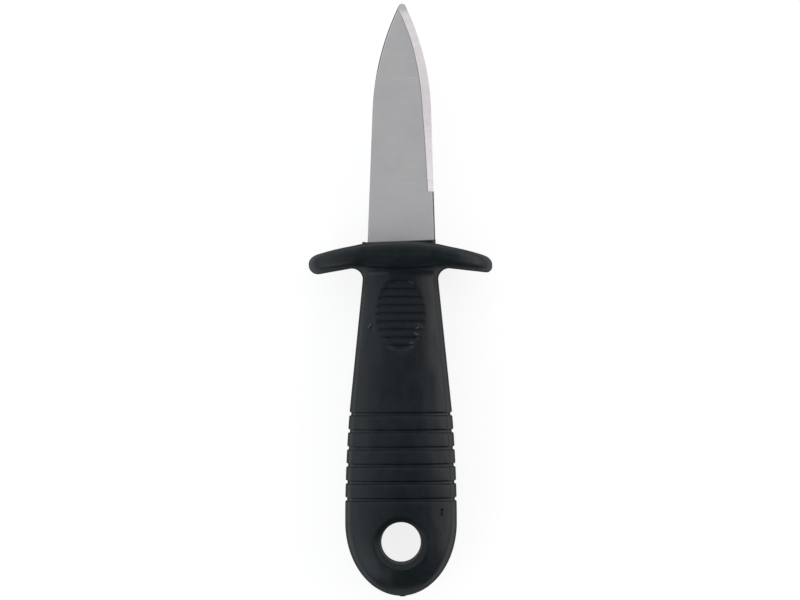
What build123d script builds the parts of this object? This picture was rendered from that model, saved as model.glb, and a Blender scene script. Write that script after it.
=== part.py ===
# Oyster knife: a stamped steel blade with a plastic handle moulded round its tang.
# It lies flat. +Z is up, +Y points to the tip, and the origin is under the middle of its box.
from build123d import *

import os
from math import acos, cos, degrees, radians, sin, sqrt

os.makedirs("parts", exist_ok=True)

# Whole knife, as the handle up to the top of its guard, and the blade that stands out of it
handle_length = 95.4
handle_depth = 19.0
blade_length = 64.6

# Grip, as width and depth: the butt, the start of the bands, and the neck under the guard
butt_width = 30.06
butt_length = 20.0
roll_off_power = 3
band_start_width = 27.2
band_start_depth = 17.4
neck_inset = 10.1
neck_width = 20.2
neck_depth = 13.6

# Cross-section of the grip: a broad crowned face, round corners and a short side wall
face_radius_share = 2.0
side_radius_share = 1.7
corner_radius_share = 0.37

# Grooves all round the grip, with the bands between them
groove_count = 6
groove_pitch = 4.59
first_groove_gap = 6.3
last_groove_gap = 1.15
groove_width = 1.1
groove_floor_width = 0.9
groove_depth = 0.5
groove_lip = 0.2

# Thumb pads, one on each broad face: short grooves inside an oval
pad_inset = 19.4
pad_width = 13.0
pad_length = 19.6
pad_groove_count = 9
pad_groove_pitch = 2.16
pad_groove_width = 1.0
pad_groove_depth = 0.35

# Hanging hole
hole_distance = 14.7
hole_radius = 5.3
hole_lip_radius = 1.4

# Guard, seen from above. Its drops are measured from the middle of its top.
guard_span = 49.1
guard_height = 6.4
guard_shoulder_inset = 2.55
guard_shoulder_drop = 3.25
guard_corner_drop = 8.5
guard_corner_radius = 1.6
# Guard, seen from the end, and its rounded edges
guard_tip_depth = 6.4
guard_lip_radius = 1.3
cove_radius = 2.8

# Raised land round the blade, where the mould closed on the steel. Its top slopes up to the right.
land_width = 19.2
land_shift = -0.7
land_depth = 4.4
land_left_drop = 0.1
land_right_rise = 0.65

# Gate mark, a small stub left standing on the end of the butt
gate_radius = 0.8
gate_height = 0.2

# Blade
blade_thickness = 2.0
blade_width = 18.1
blade_taper_angle = 2.0
ogive_radius = 70.0
tip_radius = 1.2
heel_gap = 13.8
bevel_width = 2.1
bevel_heel_width = 1.45
edge_thickness = 0.35

# Tang, hidden in the handle
shoulder_inset = 5.0
shoulder_radius = 1.5
tang_width = 11.0
tang_length = 48.0
tang_hole_count = 2
tang_hole_radius = 2.5
tang_hole_pitch = 17.0
tang_hole_inset = 14.5

# How far a cutter runs past what it cuts
overrun = 5.0

overall_length = handle_length + blade_length
butt_y = -overall_length / 2
mid_height = handle_depth / 2

# Distances along the knife, all measured from the butt end
first_groove_distance = butt_length + first_groove_gap
groove_distances = [first_groove_distance + groove * groove_pitch for groove in range(groove_count)]
butt_end_distance = first_groove_distance - groove_pitch / 2
band_start_distance = groove_distances[-1] + last_groove_gap
neck_distance = handle_length - neck_inset
root_distance = handle_length - guard_height / 2
pad_distance = handle_length - pad_inset
heel_distance = handle_length + heel_gap


def along(distance):
    """Gives the Y of a distance measured from the butt end."""
    return butt_y + distance


def across(distance):
    """Gives the plane that cuts the knife square across at a distance from the butt end."""
    return Plane(origin=(0, along(distance), mid_height), x_dir=(1, 0, 0), z_dir=(0, -1, 0))


def level(height):
    """Gives the flat plane at a height above the middle of the knife's thickness."""
    return Plane.XY.offset(mid_height + height)


def mirrored(point):
    """Gives the same point on the left side."""
    return Vector(-point.X, point.Y)


def oval(distance, half_width, half_depth):
    """Draws one cross-section: two face arcs and two side arcs, joined by corner arcs tangent to both."""
    face_radius = face_radius_share * half_width
    side_radius = side_radius_share * half_depth
    corner_radius = corner_radius_share * min(half_width, half_depth)
    face_centre = Vector(0, half_depth - face_radius)
    side_centre = Vector(half_width - side_radius, 0)
    between = side_centre - face_centre
    to_face = face_radius - corner_radius
    to_side = side_radius - corner_radius
    reach = (to_face**2 - to_side**2 + between.length**2) / (2 * between.length)
    between = between.normalized()
    offside = Vector(between.Y, -between.X) * sqrt(to_face**2 - reach**2)
    corner_centre = face_centre + between * reach + offside
    face_direction = (corner_centre - face_centre).normalized()
    side_direction = (corner_centre - side_centre).normalized()
    middle_direction = (face_direction + side_direction).normalized()
    face_end = corner_centre + face_direction * corner_radius
    corner_middle = corner_centre + middle_direction * corner_radius
    side_end = corner_centre + side_direction * corner_radius

    def corner_of(point, right, up):
        return Vector(point.X * right, point.Y * up)

    with BuildSketch(across(distance)) as section:
        with BuildLine():
            for up in (1, -1):
                ThreePointArc(corner_of(face_end, -1, up), (0, half_depth * up), corner_of(face_end, 1, up))
            for right in (1, -1):
                ThreePointArc(
                    corner_of(side_end, right, 1), (half_width * right, 0), corner_of(side_end, right, -1)
                )
                for up in (1, -1):
                    ThreePointArc(
                        corner_of(face_end, right, up),
                        corner_of(corner_middle, right, up),
                        corner_of(side_end, right, up),
                    )
        make_face()
    return section.sketch


def grip_section(distance, inset=0):
    """Draws the grip at a distance from the butt end, drawn in by the inset.

    It narrows on a parabola from the butt to the start of the bands, then straight to the neck.
    """
    if distance < band_start_distance:
        share = ((distance - butt_length) / (band_start_distance - butt_length)) ** 2
        start, end = (butt_width, handle_depth), (band_start_width, band_start_depth)
    else:
        share = min(1, (distance - band_start_distance) / (neck_distance - band_start_distance))
        start, end = (band_start_width, band_start_depth), (neck_width, neck_depth)
    width = start[0] + (end[0] - start[0]) * share
    depth = start[1] + (end[1] - start[1]) * share
    return oval(distance, width / 2 - inset, depth / 2 - inset)


def groove_sections(centre):
    """Draws one groove: lip, wall, flat floor, wall, lip."""
    profile = (
        (groove_width / 2 + groove_lip, 0),
        (groove_width / 2, groove_lip),
        (groove_floor_width / 2, groove_depth),
    )
    before = [grip_section(centre - reach, inset) for reach, inset in profile]
    after = [grip_section(centre + reach, inset) for reach, inset in reversed(profile)]
    return before + after


def butt_sections():
    """Draws the butt: half an ellipse seen from above, rolling off to its end seen from the side."""
    start_angle = degrees(acos(1 - gate_height / butt_length))
    sections = []
    for angle in (start_angle, 20, 32, 45, 58, 74, 90):
        height_share = cos(radians(angle))
        half_width = butt_width / 2 * sin(radians(angle))
        half_depth = handle_depth / 2 * (1 - height_share**roll_off_power) ** (1 / roll_off_power)
        sections.append(oval(butt_length * (1 - height_share), half_width, half_depth))
    return sections + [grip_section(butt_end_distance)]


# Blade outline: each side tapers, then runs to the round tip on an arc that is tangent to both
blade_root = Vector(blade_width / 2, along(handle_length))
side_normal = Vector(1, 0).rotate(Axis.Z, blade_taper_angle)
side_direction = Vector(0, 1).rotate(Axis.Z, blade_taper_angle)
side_offset = side_normal.dot(blade_root)
tip_centre = Vector(0, along(overall_length) - tip_radius)
inward = side_normal.dot(tip_centre) - side_offset + ogive_radius
forward = side_direction.dot(tip_centre) - sqrt((ogive_radius - tip_radius) ** 2 - inward**2)
ogive_centre = side_normal * (side_offset - ogive_radius) + side_direction * forward
tip_normal = (tip_centre - ogive_centre).normalized()


def side_point(distance):
    """Gives the point of the right side at a distance from the butt end."""
    height = along(distance)
    return Vector((side_offset - side_normal.Y * height) / side_normal.X, height)


def ogive_point(direction, draw_in):
    """Gives the point of the right arc in a direction from its centre, drawn in towards the blade."""
    return ogive_centre + direction.normalized() * (ogive_radius - draw_in)


heel = side_point(heel_distance)
shoulder = side_point(handle_length - shoulder_inset)


def grind_outline(height, draw_in, heel_draw_in):
    """Draws the right side drawn in by the bevel's width, with a left side clear of the blade."""
    clear_x = -blade_width
    clear_angle = acos((clear_x - ogive_centre.X) / (ogive_radius - draw_in))
    clear_direction = Vector(1, 0).rotate(Axis.Z, degrees(clear_angle))
    start = ogive_point(side_normal, draw_in)
    middle = ogive_point(side_normal + clear_direction, draw_in)
    end = ogive_point(clear_direction, draw_in)
    with BuildSketch(level(height)) as outline:
        with BuildLine():
            Polyline(end, (clear_x, heel.Y), (heel.X - heel_draw_in, heel.Y), start)
            ThreePointArc(start, middle, end)
        make_face()
    return outline.sketch


with BuildPart() as blade:
    # The ground end, from the heel of the bevel to the tip
    with BuildSketch(level(-blade_thickness / 2)):
        with BuildLine():
            right_side = Line(heel, ogive_point(side_normal, 0))
            right_ogive = ThreePointArc(
                right_side @ 1, ogive_point(side_normal + tip_normal, 0), ogive_point(tip_normal, 0)
            )
            round_tip = ThreePointArc(right_ogive @ 1, (0, along(overall_length)), mirrored(right_ogive @ 1))
            left_ogive = ThreePointArc(
                round_tip @ 1, mirrored(ogive_point(side_normal + tip_normal, 0)), mirrored(right_side @ 1)
            )
            Polyline(left_ogive @ 1, mirrored(heel), heel)
        make_face()
    extrude(amount=blade_thickness)

    # The bevel, ground on both faces of the right side to a thin edge
    half_thickness = blade_thickness / 2
    half_edge = edge_thickness / 2
    loft(
        sections=[
            grind_outline(-half_thickness, bevel_width, bevel_heel_width),
            grind_outline(-half_edge, 0, 0),
            grind_outline(half_edge, 0, 0),
            grind_outline(half_thickness, bevel_width, bevel_heel_width),
        ],
        ruled=True,
        mode=Mode.INTERSECT,
    )

    # The root, the shoulders and the tang with its locking holes
    with BuildSketch(level(-blade_thickness / 2)):
        with BuildLine():
            Polyline(heel, shoulder, mirrored(shoulder), mirrored(heel), close=True)
        make_face()
        tang_end = along(handle_length - tang_length)
        tang_span = shoulder.Y - tang_end
        with Locations((0, tang_end + tang_span / 2)):
            Rectangle(tang_width, tang_span)
        outer = vertices().group_by(Axis.Y)[0] + vertices().filter_by_position(
            Axis.Y, shoulder.Y - shoulder_radius, shoulder.Y + shoulder_radius
        )
        fillet(outer, radius=shoulder_radius)
        for hole in range(tang_hole_count):
            inset = tang_hole_inset + hole * tang_hole_pitch
            with Locations((0, along(handle_length - inset))):
                Circle(tang_hole_radius, mode=Mode.SUBTRACT)
    extrude(amount=blade_thickness)
blade.part.label = "blade"
export_step(blade.part, "parts/blade.step")

with BuildPart() as pad_cutter:
    # Short slabs inside an oval, less what lies under their floor
    with BuildSketch(level(-handle_depth)):
        pad_span = (pad_groove_count - 1) * pad_groove_pitch
        for groove in range(pad_groove_count):
            with Locations((0, along(pad_distance - pad_span / 2 + groove * pad_groove_pitch))):
                Rectangle(pad_width, pad_groove_width)
        with Locations((0, along(pad_distance))):
            Ellipse(pad_width / 2, pad_length / 2, mode=Mode.INTERSECT)
    extrude(amount=2 * handle_depth)
    pad_ends = (pad_distance - pad_length, pad_distance + pad_length)
    loft(sections=[grip_section(end, pad_groove_depth) for end in pad_ends], ruled=True, mode=Mode.SUBTRACT)

with BuildPart() as guard:
    # The outline from above, cut by the lens that the guard makes seen from the end
    guard_y = along(handle_length)
    with BuildSketch(level(0)):
        with BuildLine():
            corner = Vector(guard_span / 2, guard_y - guard_corner_drop)
            shoulder_point = (guard_span / 2 - guard_shoulder_inset, guard_y - guard_shoulder_drop)
            top = TangentArc((0, guard_y), shoulder_point, tangent=(1, 0))
            TangentArc(top @ 1, corner, tangent=top % 1)
            TangentArc((0, guard_y - guard_height), corner, tangent=(1, 0))
            mirror(about=Plane.YZ)
        make_face()
        fillet(vertices().group_by(Axis.Y)[0], radius=guard_corner_radius)
    extrude(amount=handle_depth, both=True)
    with BuildSketch(across(handle_length + overrun)):
        with BuildLine():
            tip_x = guard_span / 2 + guard_corner_radius
            tip_z = guard_tip_depth / 2
            front = ThreePointArc((-tip_x, tip_z), (0, handle_depth / 2), (tip_x, tip_z))
            back = ThreePointArc((-tip_x, -tip_z), (0, -handle_depth / 2), (tip_x, -tip_z))
            Line(front @ 0, back @ 0)
            Line(front @ 1, back @ 1)
        make_face()
    extrude(amount=guard_corner_drop + 2 * overrun, mode=Mode.INTERSECT)
    rims = [face.outer_wire().edges() for face in faces().filter_by(GeomType.CYLINDER).sort_by(Axis.Z)]
    fillet(rims[0] + rims[-1], radius=guard_lip_radius)

with BuildPart() as handle:
    # The body of the grip, from the gate mark on the butt to inside the guard
    loft(sections=butt_sections())
    grip = [grip_section(butt_end_distance)]
    for distance in groove_distances:
        grip += groove_sections(distance)
    grip += [grip_section(distance) for distance in (band_start_distance, neck_distance, root_distance)]
    loft(sections=grip, ruled=True)
    with BuildSketch(across(0)):
        Circle(gate_radius)
    extrude(amount=-butt_length / 4)

    # The guard, and the cove that runs all round the neck under it
    add(guard.part)
    guard_root_y = guard_y - guard_height
    cove_edges = (
        edges(Select.LAST)
        .filter_by_position(Axis.Y, (along(neck_distance) + guard_root_y) / 2, guard_y - guard_height / 2)
        .filter_by_position(Axis.Z, mid_height - neck_depth / 2, mid_height + neck_depth / 2)
    )
    fillet(cove_edges, radius=cove_radius)

    # The raised land round the blade
    with BuildSketch(level(-land_depth / 2)):
        with BuildLine():
            land_left = land_shift - land_width / 2
            land_right = land_shift + land_width / 2
            Polyline(
                (land_left, guard_y - guard_height / 2),
                (land_left, guard_y - land_left_drop),
                (land_right, guard_y + land_right_rise),
                (land_right, guard_y - guard_height / 2),
                close=True,
            )
        make_face()
    extrude(amount=land_depth)

    # The thumb pads
    add(pad_cutter.part, mode=Mode.SUBTRACT)

    # The hanging hole, with its rounded lips
    with BuildSketch(level(-handle_depth)):
        with Locations((0, along(hole_distance))):
            Circle(hole_radius)
    extrude(amount=2 * handle_depth, mode=Mode.SUBTRACT)
    fillet(edges(Select.LAST).filter_by(Axis.Z, reverse=True), radius=hole_lip_radius)

    # The space that the blade fills. Plastic fills the tang's holes.
    add(blade.part, mode=Mode.SUBTRACT)
handle.part.label = "handle"
export_step(handle.part, "parts/handle.step")
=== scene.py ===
# %% [markdown]
# # An oyster knife
# The knife is two things: a flat steel blade, and a black plastic handle that was moulded round the blade's
# tang. Both are made here as surfaces worked out with numpy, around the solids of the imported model. Every
# size is in millimetres until a mesh is made, and a place along the knife is its distance from the butt end.

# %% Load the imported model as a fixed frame
from math import pi, radians

import bmesh
import bpy
import numpy as np
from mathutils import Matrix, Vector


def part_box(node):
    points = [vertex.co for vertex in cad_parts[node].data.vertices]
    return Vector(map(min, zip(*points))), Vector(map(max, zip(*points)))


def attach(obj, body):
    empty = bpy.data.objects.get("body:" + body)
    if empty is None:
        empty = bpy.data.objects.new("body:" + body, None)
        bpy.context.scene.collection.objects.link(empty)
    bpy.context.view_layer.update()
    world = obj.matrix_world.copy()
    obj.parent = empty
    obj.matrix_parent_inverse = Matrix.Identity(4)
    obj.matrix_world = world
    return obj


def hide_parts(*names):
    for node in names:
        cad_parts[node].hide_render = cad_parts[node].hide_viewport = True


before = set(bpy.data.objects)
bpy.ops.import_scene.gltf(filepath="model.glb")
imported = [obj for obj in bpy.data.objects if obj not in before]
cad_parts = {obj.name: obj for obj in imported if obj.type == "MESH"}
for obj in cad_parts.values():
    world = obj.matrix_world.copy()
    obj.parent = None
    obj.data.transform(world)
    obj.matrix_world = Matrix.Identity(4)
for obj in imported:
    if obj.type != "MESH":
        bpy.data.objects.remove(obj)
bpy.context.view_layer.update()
millimetre = 0.001
handle_low, handle_high = np.array(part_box("handle")) / millimetre
blade_low, blade_high = np.array(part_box("blade")) / millimetre
butt_y = handle_low[1]
mid_z = (handle_low[2] + handle_high[2]) / 2
full_half_depth = (handle_high[2] - handle_low[2]) / 2
knife_length = blade_high[1] - butt_y
print("knife", knife_length, "mm long, middle of its thickness", mid_z, "mm up")

# %% [markdown]
# ## The camera
# The photograph looks straight down at the knife, with the tip at the top and very little perspective. A long
# lens high above it gives that. The knife's length in the picture gives the scale, 0.27 mm to a pixel. The
# handle's axis crosses the picture's middle row half a pixel right of the centre and leans a hair to the left
# towards the guard, so the camera stands a little to the left and is turned by as much.

# %% Camera
pixel = 0.27
image_width = 800
frame_width = image_width * pixel
axis_column = 400.55
camera_roll = radians(-0.126)
camera_height = 1200.0
sensor_width = 36.0

camera_data = bpy.data.cameras.new("camera")
camera_data.sensor_width = sensor_width
camera_data.lens = sensor_width * camera_height / frame_width


def put(name, data):
    """Puts an object with its data into the scene."""
    made = bpy.data.objects.new(name, data)
    bpy.context.scene.collection.objects.link(made)
    return made


camera = put("camera", camera_data)
camera.location = np.array([(image_width / 2 - axis_column) * pixel, 0, mid_z + camera_height]) * millimetre
camera.rotation_euler = (0, 0, camera_roll)
bpy.context.scene.camera = camera
bpy.context.scene.view_settings.view_transform = "Standard"
print("lens", camera_data.lens, "mm")

# %% [markdown]
# ## Columns round the handle
# The handle could be cut from a block with booleans, but its grooves, cove and guard flow into each other, so
# it is one net of points instead: rows along the knife, and columns round it. A column starts at the top of
# the broad face and goes round by the right. Each quarter has columns for the face, for the corner and for
# the side, and the other three quarters are its reflections.

# %% Columns
face_columns, corner_columns, side_columns = 24, 22, 14
corner_crowding = 1.5
quarter = face_columns + corner_columns + side_columns
column_count = 4 * quarter
right = np.repeat([1, -1], 2 * quarter)
up = np.repeat([1, -1, 1], [quarter, 2 * quarter, quarter])
quarter_step = np.tile(np.r_[:quarter, quarter:0:-1], 2)
face_share = np.arange(face_columns) / face_columns
corner_share = 1 - (1 - np.arange(corner_columns) / corner_columns) ** corner_crowding
side_share = np.arange(side_columns + 1) / side_columns


def reflect(quarter_x, quarter_z):
    """Turns one quarter of a section into the whole of it, by reflection to the left and downwards."""
    return right * quarter_x[..., quarter_step], up * quarter_z[..., quarter_step]


print(column_count, "columns")

# %% [markdown]
# ## The grip's cross-section
# A round handle would roll on the table. This one is a broad oval: a gently crowned face, round corners and a
# nearly flat side. Arcs that meet without a bend give it, and an arc has one more virtue: a groove of even
# depth is the same arc with a smaller radius.

# %% Oval
face_radius_share = 2.0
side_radius_share = 1.7
corner_radius_share = 0.37


def oval(half_width, half_depth):
    """Gives where each column meets an oval section, and the direction straight out of the surface there.

    A point is its arc's centre plus the arc's radius times (sin b, cos b). The turn b grows from 0 on top of
    the face to a quarter turn at the side. The corner's centre is the third point of a triangle: its
    distances from the centres of the face and the side are those radii less the corner's own.
    """
    width, depth = (np.asarray(size, float)[..., None] for size in (half_width, half_depth))
    face_radius = face_radius_share * width
    side_radius = side_radius_share * depth
    corner_radius = corner_radius_share * np.minimum(width, depth)
    face_z, side_x = depth - face_radius, width - side_radius
    to_face, to_side = face_radius - corner_radius, side_radius - corner_radius
    apart = np.hypot(face_z, side_x)
    face_turn = np.arctan2(side_x, -face_z) + np.arccos(
        (to_face**2 + apart**2 - to_side**2) / (2 * to_face * apart)
    )
    corner_x = to_face * np.sin(face_turn)
    corner_z = face_z + to_face * np.cos(face_turn)
    side_turn = np.arctan2(corner_x - side_x, corner_z)
    turns = (
        face_turn * face_share,
        face_turn + (side_turn - face_turn) * corner_share,
        side_turn + (pi / 2 - side_turn) * side_share,
    )
    arcs = zip(turns, (0, corner_x, side_x), (face_z, corner_z, 0), (face_radius, corner_radius, side_radius))
    arcs = [(x + radius * np.sin(turn), z + radius * np.cos(turn)) for turn, x, z, radius in arcs]
    x, z = (np.concatenate(part, axis=-1) for part in zip(*arcs))
    turn = np.concatenate(turns, axis=-1)
    return *reflect(x, z), *reflect(np.sin(turn), np.cos(turn))


# %% [markdown]
# ## The grip from above and from the side
# Seen from above the butt is half an ellipse, and the grip then narrows on a parabola to the last groove and
# straight from there to the neck. Seen from the side the butt rolls off more bluntly.

# %% Grip outline
butt_half_width = 15.08
butt_length = 20.0
ellipse_power, butt_bluntness = 2, 3
butt_end = 0.2
band_distance, band_half_width, band_half_depth = 50.4, 13.78, 8.7
neck_distance, neck_half_width, neck_half_depth = 85.3, 10.22, 6.8
neck_softness = 0.6


def grip_size(distance):
    """Gives the grip's half width and half depth at a distance from the butt end.

    Past the bands each size is the neck's plus a slope times the way left to the neck. That way is rounded
    off near zero: half of (way + the root of way squared plus softness squared).
    """
    short = np.clip((butt_length - distance) / (butt_length - butt_end), 0, 1)
    swell = np.clip((distance - butt_length) / (band_distance - butt_length), 0, 1) ** 2
    left = neck_distance - distance
    left = (left + np.hypot(left, neck_softness)) / 2 / (neck_distance - band_distance)

    def size(butt, band, neck, bluntness):
        near_butt = butt * (1 - short**bluntness) ** (1 / bluntness) + (band - butt) * swell
        return np.where(distance < band_distance, near_butt, neck + (band - neck) * left)

    half_width = size(butt_half_width, band_half_width, neck_half_width, ellipse_power)
    return half_width, size(full_half_depth, band_half_depth, neck_half_depth, butt_bluntness)


print("half sizes at the bands' end and the neck:", grip_size(np.array([band_distance, neck_distance])))

# %% [markdown]
# ## Grooves
# Six grooves run all round the grip, and nine short ones cross each thumb pad. All have a rounded lip, a
# steep wall and a flat floor, so one function works out the profile of both.

# %% Groove profile
first_groove, groove_spacing = 26.35, 4.59
pad_distance, pad_groove_spacing = 76.1, 2.166
band_grooves = first_groove + groove_spacing * np.arange(6)
pad_grooves = pad_distance + pad_groove_spacing * np.arange(-4, 5)


def groove(width, depth, lip_radius, floor_radius, lean, arc_rows):
    """Gives where a groove's rows are, measured from its middle, and how deep each is.

    An arc turns from level to the wall's lean. The wall goes straight down, and an arc turns level again. The
    other half is the same mirrored.
    """
    turn = np.linspace(0, lean, arc_rows)
    wall_drop = depth - (lip_radius + floor_radius) * (1 - np.cos(lean))
    floor_edge = width / 2 - wall_drop / np.tan(lean)
    lip_reach = width / 2 + lip_radius * (np.sin(lean) - np.sin(turn))
    lip_depth = lip_radius * (1 - np.cos(turn))
    floor_reach = floor_edge - floor_radius * (np.sin(lean) - np.sin(turn[::-1]))
    floor_depth = depth - floor_radius * (1 - np.cos(turn[::-1]))
    reach, depths = np.r_[lip_reach, floor_reach], np.r_[lip_depth, floor_depth]
    return np.r_[-reach, reach[::-1]], np.r_[depths, depths[::-1]]


band_profile = groove(0.96, 0.47, lip_radius=0.25, floor_radius=0.13, lean=radians(68), arc_rows=5)
pad_profile = groove(0.9, 0.3, lip_radius=0.14, floor_radius=0.08, lean=radians(72), arc_rows=4)

# %% [markdown]
# ## Rows along the grip
# A row stands wherever the surface turns: close together on the butt and in the grooves, and far apart on the
# plain stretches. Each row has a place, how deep the bands' grooves cut there, and how deep the pads' do.

# %% Rows
first_row = 0.27
hole_block = 5.2, 24.0
hole_row = 12
hole_butt_rows, hole_grip_rows = 24, 5
band_rows = 1.6, 2.3, 3.0
plain_stretch, plain_rows = (52.5, 66.0), 8


def butt_turn(distance):
    """Gives the turn along the butt's half ellipse at a distance from the butt end."""
    return np.arccos((butt_length - distance) / (butt_length - butt_end))


hole_turn = butt_turn(hole_block[0])
butt_turns = np.r_[
    np.linspace(butt_turn(first_row), hole_turn, hole_row, endpoint=False),
    np.linspace(hole_turn, pi / 2, hole_butt_rows, endpoint=False),
]
rows = [(distance, 0, 0) for distance in butt_length - (butt_length - butt_end) * np.cos(butt_turns)]
rows += [(distance, 0, 0) for distance in np.linspace(butt_length, hole_block[1], hole_grip_rows)]
hole_last_row = len(rows) - 1
for middle in band_grooves:
    rows += [(middle + offset, sink, 0) for offset, sink in zip(*band_profile)]
    rows += [(middle + distance, 0, 0) for distance in band_rows[: 3 if middle < band_grooves[-1] else 1]]
rows += [(distance, 0, 0) for distance in np.linspace(*plain_stretch, plain_rows)]
for middle in pad_grooves:
    rows += [(middle + offset, 0, sink) for offset, sink in zip(*pad_profile)]
row_distance, row_band_sink, row_pad_sink = np.array(rows)[..., None].transpose(1, 0, 2)
print(len(rows), "rows on the grip")

# %% [markdown]
# ## The thumb pads
# The short grooves stop at an oval. The pad inside lies a hair below the face around it and is a third
# flatter, so it mirrors the dim room overhead and looks darker than the crowned face on either side. All of
# it is one depth that each point of the grip is sunk by, and that fades out at the oval.

# %% Grip surface
pad_half_width, pad_half_length = 6.25, 9.8
pad_edge = 0.8
pad_recess = 0.04
pad_flattening = 0.34


def smooth(share):
    """Rises from 0 to 1 as the share does, level at both ends: 3 share squared less 2 share cubed."""
    share = np.clip(share, 0, 1)
    return share * share * (3 - 2 * share)


def pad_share(x, distance):
    """Gives 1 inside the pad's oval and 0 outside it, over a narrow edge."""
    far = np.hypot(x / pad_half_width, (distance - pad_distance) / pad_half_length)
    return smooth((1 - far) * pad_half_width / pad_edge + 0.5)


grip_x, grip_z, out_x, out_z = oval(*(size[:, 0] for size in grip_size(row_distance)))
face_radius = face_radius_share * grip_size(row_distance)[0]
crown = np.clip(pad_half_width**2 - grip_x**2, 0, None) / (2 * face_radius)
pad_sink_here = row_pad_sink + pad_recess + pad_flattening * crown
sink = row_band_sink + pad_sink_here * pad_share(grip_x, row_distance)
grip_y = np.broadcast_to(row_distance, grip_x.shape)
grip = np.stack([grip_x - sink * out_x, grip_y, grip_z - sink * out_z], -1)
print("grip net", grip.shape)

# %% [markdown]
# ## The guard
# The guard stops a wet hand from sliding on to the blade. Its wings reach out past the grip, and a cove runs
# all round the neck under them. Each column leaves the neck straight out of its surface until it meets the
# rim. On that way it draws the guard's section: the cove's arc, the underside, the lip's arc, the rim's wall
# and a rounded upper edge. Where there is little room, as on the broad faces, the two arcs meet at a lesser
# slope and make the shallow S that the photograph shows there. A size that differs on the wings is its value
# on the face plus a change times wing, which grows to 1 at the wings' tips.

# %% Guard rim
guard_top = 95.4
guard_reach = handle_high[0]
guard_bluntness = 2.3
top_radius = 76.0

neck_x, neck_z, out_x, out_z = oval(neck_half_width, neck_half_depth)


def beyond_rim(x, z):
    """Tells whether a point is past the rim, a power curve: x and z shares to one power, adding up to 1."""
    shares = np.abs([x / guard_reach, z / full_half_depth])
    return (shares**guard_bluntness).sum(axis=0) > 1


halvings = 40
nearest, furthest = np.zeros(column_count), np.full(column_count, 2 * guard_reach)
for halving in range(halvings):
    reach = (nearest + furthest) / 2
    past = beyond_rim(neck_x + reach * out_x, neck_z + reach * out_z)
    nearest, furthest = np.where(past, nearest, reach), np.where(past, reach, furthest)
rim_x = neck_x + reach * out_x
wing = (rim_x / guard_reach) ** 2
print("the rim is", reach.min(), "to", reach.max(), "mm from the neck")

# %% Guard section
cove_radius = 2.9
cove_start = 86.3 - 0.7 * wing
face_lip, side_lip, wing_tip_lip = 4.2, 1.8, np.where(right > 0, -0.2, 0.7)
lip_change = smooth((np.abs(rim_x) - 5.0) / 9.0)
lip_radius = face_lip + (side_lip - face_lip) * lip_change + wing_tip_lip * wing**2
droop = np.where(right > 0, 6.5, 10.0)
sweep_turn = np.radians(90 + droop * wing)
straight = 0.3
least_wall, small_way = 0.1, 0.1
edge_width = 1.6 + 0.5 * wing
edge_height = 2.2 - 0.5 * wing
bezier_share = 0.55
guard_rise, guard_tilt = 0.17, -0.0057
land_rise, land_rise_start, land_rise_width = 0.2, 13.5, 4.0
cove_rows, under_rows, lip_rows, wall_rows, edge_rows, top_rows = 12, 6, 10, 5, 9, 7


def top_of_guard(x):
    """Gives the distance of the guard's top face from the butt end.

    It is a long arc from wing tip to wing tip, a hair higher on the left, plus a soft rise towards the land.
    """
    arc = guard_top - top_radius + np.sqrt(top_radius**2 - x**2)
    towards_land = smooth((land_rise_start - np.abs(x)) / land_rise_width)
    return arc + guard_rise + guard_tilt * x + land_rise * towards_land


def steps(count):
    """Gives evenly spaced shares from 0 to 1 as a column of numbers."""
    return np.linspace(0, 1, count)[:, None]


both_radii = cove_radius + lip_radius
turn_with_room = np.arccos(np.clip((both_radii - reach) / np.hypot(both_radii, straight), -1, 1))
turn = np.minimum(turn_with_room - np.arctan(straight / both_radii), sweep_turn)
run = (reach - both_radii * (1 - np.cos(turn))) / np.sin(turn)

cove_turn = turn * steps(cove_rows)
cove_u = cove_radius * (1 - np.cos(cove_turn))
cove_v = cove_start + cove_radius * np.sin(cove_turn)
under_u = cove_u[-1] + run * np.sin(turn) * steps(under_rows)[1:-1]
under_v = cove_v[-1] + run * np.cos(turn) * steps(under_rows)[1:-1]
lip_turn = turn * steps(lip_rows)[::-1]
lip_u = reach - lip_radius * (1 - np.cos(lip_turn))
lip_v = cove_v[-1] + run * np.cos(turn) + lip_radius * (np.sin(turn) - np.sin(lip_turn))

edge_x = rim_x - edge_width * out_x
edge_v = top_of_guard(edge_x)
corner_v = edge_v + (top_of_guard(edge_x + small_way * out_x) - edge_v) / small_way * edge_width
wall_top = np.maximum(corner_v - edge_height, lip_v[-1] + least_wall)
wall_v = lip_v[-1] + (wall_top - lip_v[-1]) * steps(wall_rows)[1:-1]
wall_u = np.broadcast_to(reach, wall_v.shape)


def bezier(first, second, third, fourth, share):
    """Gives the points of a cubic curve between two ends that leaves them towards two handles."""
    rest = 1 - share
    return rest**3 * first + 3 * rest**2 * share * second + 3 * rest * share**2 * third + share**3 * fourth


edge_share = steps(edge_rows)
edge_u = bezier(reach, reach, reach - edge_width * (1 - bezier_share), reach - edge_width, edge_share)
edge_handles = wall_top + bezier_share * (corner_v - wall_top), edge_v + bezier_share * (corner_v - edge_v)
edge_curve_v = bezier(wall_top, *edge_handles, edge_v, edge_share)
section_u = np.concatenate([cove_u, under_u, lip_u, wall_u, edge_u])
section_v = np.concatenate([cove_v, under_v, lip_v, wall_v, edge_curve_v])
guard = np.stack([neck_x + section_u * out_x, section_v, neck_z + section_u * out_z], -1)
print("guard net", guard.shape)

# %% [markdown]
# ## The land and the slot
# The mould closed on the blade with a low land round it, a little higher on the right. The steel goes down
# through it: the full width for a few millimetres, then the narrower tang. A blade that ended at the surface
# would show a gap, so the slot is really there, as deep as the tang.

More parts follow.
